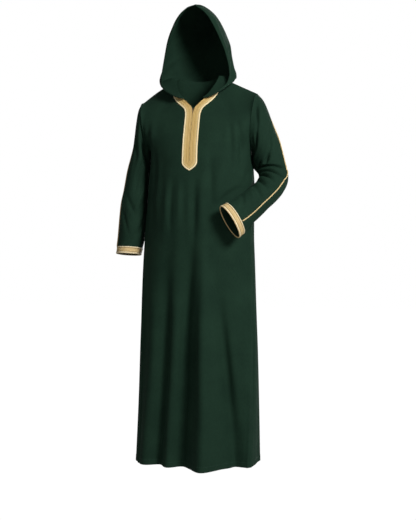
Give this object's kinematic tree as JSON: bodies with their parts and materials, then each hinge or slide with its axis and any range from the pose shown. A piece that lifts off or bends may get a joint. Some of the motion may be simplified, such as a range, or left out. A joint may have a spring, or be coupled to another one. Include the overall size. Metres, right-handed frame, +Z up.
{
  "type": "djellaba robe",
  "caption": "Long hooded robe in its worn shape, hood up, one sleeve hanging and one bent, with braided trim at the neck, cuffs and sleeves.",
  "frame": {"origin": "middle of the neck base, level with the place where the shoulders hold the robe", "axes": "+Z up, the front faces -Y, +X is the wearer's left"},
  "size_m": [0.6451, 0.4088, 1.6892],
  "materials": {
    "cloth": "dark green woven cloth with a soft low sheen",
    "braid": "gold rayon braid with a silky sheen"
  },
  "bodies": {
    "root": {"front": "cloth", "back": "cloth", "sleeve_right": "cloth", "sleeve_left": "cloth", "hood_right": "cloth", "hood_left": "cloth", "neck_band_right": "braid", "neck_band_left": "braid", "cuff_band_right": "braid", "cuff_band_left": "braid", "sleeve_cord_right": "braid", "sleeve_cord_left": "braid"}
  },
  "joints": []
}
